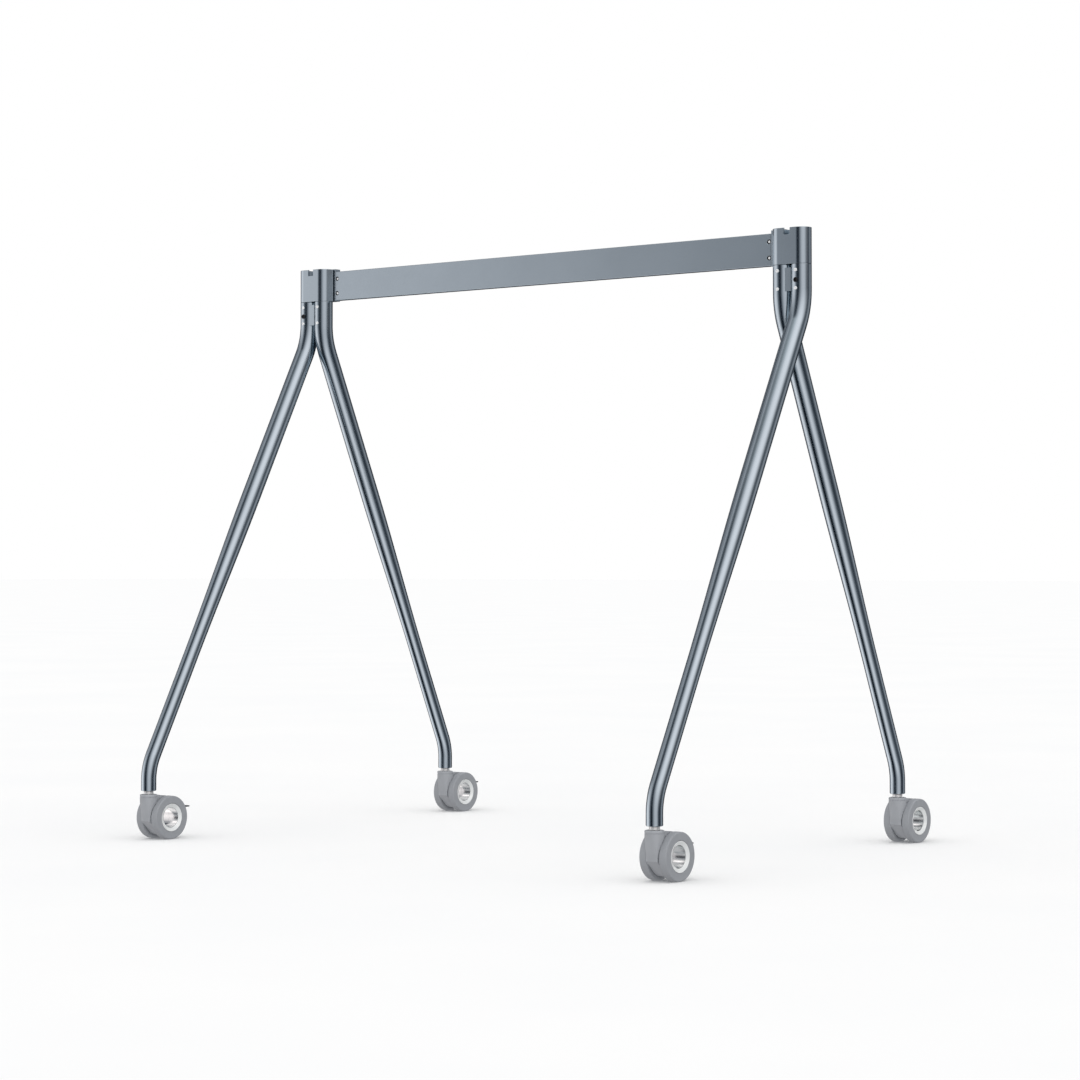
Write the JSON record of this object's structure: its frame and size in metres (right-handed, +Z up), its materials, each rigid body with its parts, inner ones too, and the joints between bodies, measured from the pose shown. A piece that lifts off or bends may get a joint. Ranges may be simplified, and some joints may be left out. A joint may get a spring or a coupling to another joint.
{
  "type": "rolling A-frame stand",
  "caption": "Rolling A-frame stand: bent tapered tube legs under slotted heads, joined by a flat crossbar, on twin-wheel swivel casters with foot brakes.",
  "frame": {"origin": "on the floor under the middle of the stand's outer box", "axes": "+X along the crossbar towards the right frame, +Y to the rear, +Z up"},
  "size_m": [1.5138, 1.149, 1.3612],
  "materials": {
    "frame_paint": "semi-gloss blue-grey metallic paint",
    "bar_paint": "satin blue-grey metallic paint",
    "chrome_screw": "polished chrome",
    "black_plastic": "matte black",
    "stem_steel": "zinc plated",
    "caster_grey": "matte grey moulded plastic",
    "tyre_grey": "smooth grey elastomer",
    "polished_hub": "polished",
    "pedal_grey": "dark grey moulded plastic"
  },
  "bodies": {
    "frame": {"crossbar": "bar_paint", "left_head": "frame_paint", "left_bridge_block": "frame_paint", "left_port_plug": "black_plastic", "left_front_leg": "frame_paint", "left_front_leg_screw_upper": "chrome_screw", "left_front_leg_screw_lower": "chrome_screw", "left_rear_leg": "frame_paint", "left_rear_leg_screw_upper": "chrome_screw", "left_rear_leg_screw_lower": "chrome_screw", "left_crossbar_screw_upper": "chrome_screw", "left_crossbar_screw_lower": "chrome_screw", "right_head": "frame_paint", "right_bridge_block": "frame_paint", "right_port_plug": "black_plastic", "right_front_leg": "frame_paint", "right_front_leg_screw_upper": "chrome_screw", "right_front_leg_screw_lower": "chrome_screw", "right_rear_leg": "frame_paint", "right_rear_leg_screw_upper": "chrome_screw", "right_rear_leg_screw_lower": "chrome_screw", "right_crossbar_screw_upper": "chrome_screw", "right_crossbar_screw_lower": "chrome_screw", "left_front_caster_stem": "stem_steel", "left_front_stem_bush": "black_plastic", "left_rear_caster_stem": "stem_steel", "left_rear_stem_bush": "black_plastic", "right_front_caster_stem": "stem_steel", "right_front_stem_bush": "black_plastic", "right_rear_caster_stem": "stem_steel", "right_rear_stem_bush": "black_plastic"},
    "left_front_swivel": {"left_front_caster_housing": "caster_grey", "left_front_caster_left_hub": "polished_hub", "left_front_caster_right_hub": "polished_hub", "left_front_pedal_pin": "stem_steel"},
    "left_front_left_wheel": {"left_front_caster_left_wheel": "tyre_grey"},
    "left_front_right_wheel": {"left_front_caster_right_wheel": "tyre_grey"},
    "left_front_pedal": {"left_front_brake_pedal": "pedal_grey"},
    "left_rear_swivel": {"left_rear_caster_housing": "caster_grey", "left_rear_caster_left_hub": "polished_hub", "left_rear_caster_right_hub": "polished_hub", "left_rear_pedal_pin": "stem_steel"},
    "left_rear_left_wheel": {"left_rear_caster_left_wheel": "tyre_grey"},
    "left_rear_right_wheel": {"left_rear_caster_right_wheel": "tyre_grey"},
    "left_rear_pedal": {"left_rear_brake_pedal": "pedal_grey"},
    "right_front_swivel": {"right_front_caster_housing": "caster_grey", "right_front_caster_left_hub": "polished_hub", "right_front_caster_right_hub": "polished_hub", "right_front_pedal_pin": "stem_steel"},
    "right_front_left_wheel": {"right_front_caster_left_wheel": "tyre_grey"},
    "right_front_right_wheel": {"right_front_caster_right_wheel": "tyre_grey"},
    "right_front_pedal": {"right_front_brake_pedal": "pedal_grey"},
    "right_rear_swivel": {"right_rear_caster_housing": "caster_grey", "right_rear_caster_left_hub": "polished_hub", "right_rear_caster_right_hub": "polished_hub", "right_rear_pedal_pin": "stem_steel"},
    "right_rear_left_wheel": {"right_rear_caster_left_wheel": "tyre_grey"},
    "right_rear_right_wheel": {"right_rear_caster_right_wheel": "tyre_grey"},
    "right_rear_pedal": {"right_rear_brake_pedal": "pedal_grey"}
  },
  "joints": [
    {"name": "left_front_swivel_turn", "type": "hinge", "parent": "frame", "child": "left_front_swivel", "pos_m": [-0.7233, -0.5545, 0.09], "axis": [0, 0, 1], "continuous": true},
    {"name": "left_front_left_wheel_roll", "type": "hinge", "parent": "left_front_swivel", "child": "left_front_left_wheel", "pos_m": [-0.74735, -0.5119, 0.05], "axis": [1, 0, 0], "continuous": true},
    {"name": "left_front_right_wheel_roll", "type": "hinge", "parent": "left_front_swivel", "child": "left_front_right_wheel", "pos_m": [-0.69925, -0.5119, 0.05], "axis": [1, 0, 0], "continuous": true},
    {"name": "left_front_pedal_press", "type": "hinge", "parent": "left_front_swivel", "child": "left_front_pedal", "pos_m": [-0.7233, -0.4745, 0.067], "axis": [-1, 0, 0], "range_deg": [0, 12]},
    {"name": "left_rear_swivel_turn", "type": "hinge", "parent": "frame", "child": "left_rear_swivel", "pos_m": [-0.6767, 0.4479, 0.09], "axis": [0, 0, 1], "continuous": true},
    {"name": "left_rear_left_wheel_roll", "type": "hinge", "parent": "left_rear_swivel", "child": "left_rear_left_wheel", "pos_m": [-0.70075, 0.4905, 0.05], "axis": [1, 0, 0], "continuous": true},
    {"name": "left_rear_right_wheel_roll", "type": "hinge", "parent": "left_rear_swivel", "child": "left_rear_right_wheel", "pos_m": [-0.65265, 0.4905, 0.05], "axis": [1, 0, 0], "continuous": true},
    {"name": "left_rear_pedal_press", "type": "hinge", "parent": "left_rear_swivel", "child": "left_rear_pedal", "pos_m": [-0.6767, 0.5279, 0.067], "axis": [-1, 0, 0], "range_deg": [0, 12]},
    {"name": "right_front_swivel_turn", "type": "hinge", "parent": "frame", "child": "right_front_swivel", "pos_m": [0.7233, -0.5545, 0.09], "axis": [0, 0, 1], "continuous": true},
    {"name": "right_front_left_wheel_roll", "type": "hinge", "parent": "right_front_swivel", "child": "right_front_left_wheel", "pos_m": [0.69925, -0.5119, 0.05], "axis": [1, 0, 0], "continuous": true},
    {"name": "right_front_right_wheel_roll", "type": "hinge", "parent": "right_front_swivel", "child": "right_front_right_wheel", "pos_m": [0.74735, -0.5119, 0.05], "axis": [1, 0, 0], "continuous": true},
    {"name": "right_front_pedal_press", "type": "hinge", "parent": "right_front_swivel", "child": "right_front_pedal", "pos_m": [0.7233, -0.4745, 0.067], "axis": [-1, 0, 0], "range_deg": [0, 12]},
    {"name": "right_rear_swivel_turn", "type": "hinge", "parent": "frame", "child": "right_rear_swivel", "pos_m": [0.6767, 0.4479, 0.09], "axis": [0, 0, 1], "continuous": true},
    {"name": "right_rear_left_wheel_roll", "type": "hinge", "parent": "right_rear_swivel", "child": "right_rear_left_wheel", "pos_m": [0.65265, 0.4905, 0.05], "axis": [1, 0, 0], "continuous": true},
    {"name": "right_rear_right_wheel_roll", "type": "hinge", "parent": "right_rear_swivel", "child": "right_rear_right_wheel", "pos_m": [0.70075, 0.4905, 0.05], "axis": [1, 0, 0], "continuous": true},
    {"name": "right_rear_pedal_press", "type": "hinge", "parent": "right_rear_swivel", "child": "right_rear_pedal", "pos_m": [0.6767, 0.5279, 0.067], "axis": [-1, 0, 0], "range_deg": [0, 12]}
  ]
}
